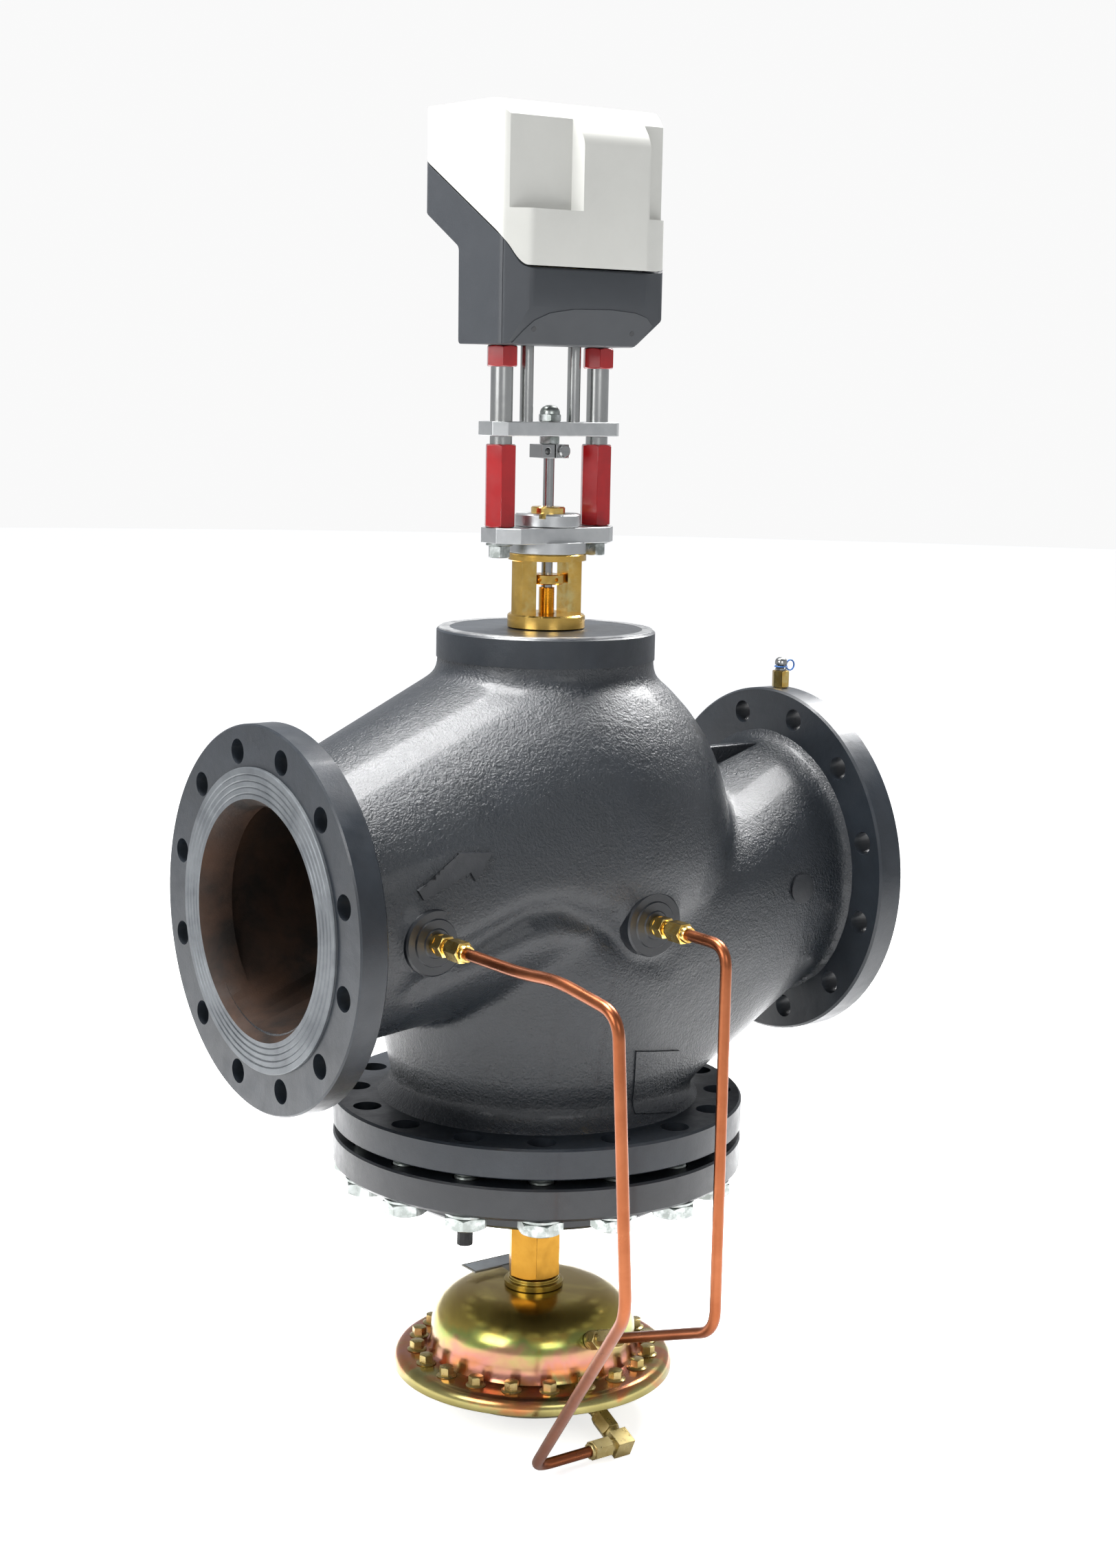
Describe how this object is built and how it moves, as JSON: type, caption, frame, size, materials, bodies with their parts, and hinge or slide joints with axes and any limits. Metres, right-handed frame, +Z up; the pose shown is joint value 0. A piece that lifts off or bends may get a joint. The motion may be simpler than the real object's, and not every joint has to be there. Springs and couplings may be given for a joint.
{
  "type": "zone valve",
  "caption": "Pressure-independent flanged globe zone valve with a motor actuator on a pillar yoke and a diaphragm controller with copper impulse tubes.",
  "frame": {"origin": "centre of the inlet flange's raised face, on the pipe axis", "axes": "+X is the flow direction from inlet to outlet, +Z is up along the stem towards the actuator, -Y is the side with the impulse tubes"},
  "size_m": [0.6026, 0.5886, 1.2088],
  "materials": {
    "cast_paint": "semi-gloss paint over cast iron",
    "dark_paint": "near black semi-gloss paint",
    "brass": "machined and polished",
    "steel": "ground",
    "zinc": "bright zinc plated",
    "aluminium": "satin, tumbled",
    "red_plastic": "glossy",
    "grey_plastic": "fine texture",
    "white_plastic": "fine texture",
    "chromate": "yellow chromate over zinc, iridescent",
    "copper": "bright drawn copper",
    "rubber": "moulded",
    "blue_plastic": "flexible moulding",
    "board": "solder mask"
  },
  "bodies": {
    "valve": {"valve_body": "cast_paint", "bottom_cover": "dark_paint", "cover_gasket": "rubber", "cover_bolts": "zinc", "drain_plug": "rubber", "seat_ring": "steel", "stem_gland": "brass", "yoke": "brass", "yoke_plate": "aluminium", "ring_nut": "aluminium", "guide_collar": "brass", "pillar_left": "steel", "pillar_right": "steel", "sleeve_left": "red_plastic", "sleeve_right": "red_plastic", "collar_left": "red_plastic", "collar_right": "red_plastic", "plate_bolt_left": "zinc", "plate_bolt_right": "zinc", "actuator_front_shell": "grey_plastic", "actuator_rear_shell": "grey_plastic", "actuator_cover": "white_plastic", "gear_frame": "zinc", "motor": "zinc", "circuit_board": "board", "guide_bush": "brass", "case_union": "brass", "case_gland": "chromate", "upper_case": "chromate", "lower_case": "chromate", "case_bolts": "chromate", "diaphragm": "rubber", "control_spring": "steel", "rating_plate": "steel", "fitting_left": "brass", "fitting_right": "brass", "port_fitting_upper": "chromate", "port_elbow_lower": "brass", "tube_left": "copper", "tube_right": "copper", "test_point": "brass", "test_strap": "blue_plastic"},
    "traverse": {"crossbar": "aluminium", "rod_left": "steel", "rod_right": "steel", "dome_nut": "zinc", "lock_nut": "zinc", "coupling_clamp": "steel", "coupling_screw": "steel", "valve_stem": "steel", "control_plug": "steel", "drive_nut": "brass"},
    "screw": {"lead_screw": "steel", "drive_gear": "white_plastic"},
    "pinion": {"motor_pinion": "brass"},
    "controller": {"pressure_cone": "steel", "pressure_stem": "steel", "diaphragm_plate": "zinc"},
    "setting": {"setting_nut": "brass"},
    "cap": {"test_cap": "steel"}
  },
  "joints": [
    {"name": "screw_turn", "type": "hinge", "parent": "valve", "child": "screw", "pos_m": [0.3, 0, 0.616], "axis": [0, 0, 1], "range_deg": [-270, 1530]},
    {"name": "stem_travel", "type": "slide", "parent": "valve", "child": "traverse", "axis": [0, 0, 1], "range_m": [-0.006, 0.034]},
    {"name": "pinion_turn", "type": "hinge", "parent": "valve", "child": "pinion", "pos_m": [0.3, 0.0394, 0.616], "axis": [0, 0, 1], "range_deg": [-5200, 950]},
    {"name": "controller_travel", "type": "slide", "parent": "valve", "child": "controller", "axis": [0, 0, 1], "range_m": [0, 0.018], "stiffness_N_per_m": 4000, "springref_m": -0.01, "deforming": ["control_spring", "diaphragm"]},
    {"name": "setting_turn", "type": "hinge", "parent": "valve", "child": "setting", "pos_m": [0.3, 0, 0.2855], "axis": [0, 0, 1], "range_deg": [-180, 180]},
    {"name": "cap_turn", "type": "hinge", "parent": "valve", "child": "cap", "pos_m": [0.585, 0, 0.193], "axis": [0, 0, 1], "range_deg": [0, 1080]}
  ],
  "couplings": [
    {"joint": "screw_turn", "follows": "stem_travel", "rad_per_m": 785.4},
    {"joint": "pinion_turn", "follows": "stem_travel", "rad_per_m": -2618}
  ]
}
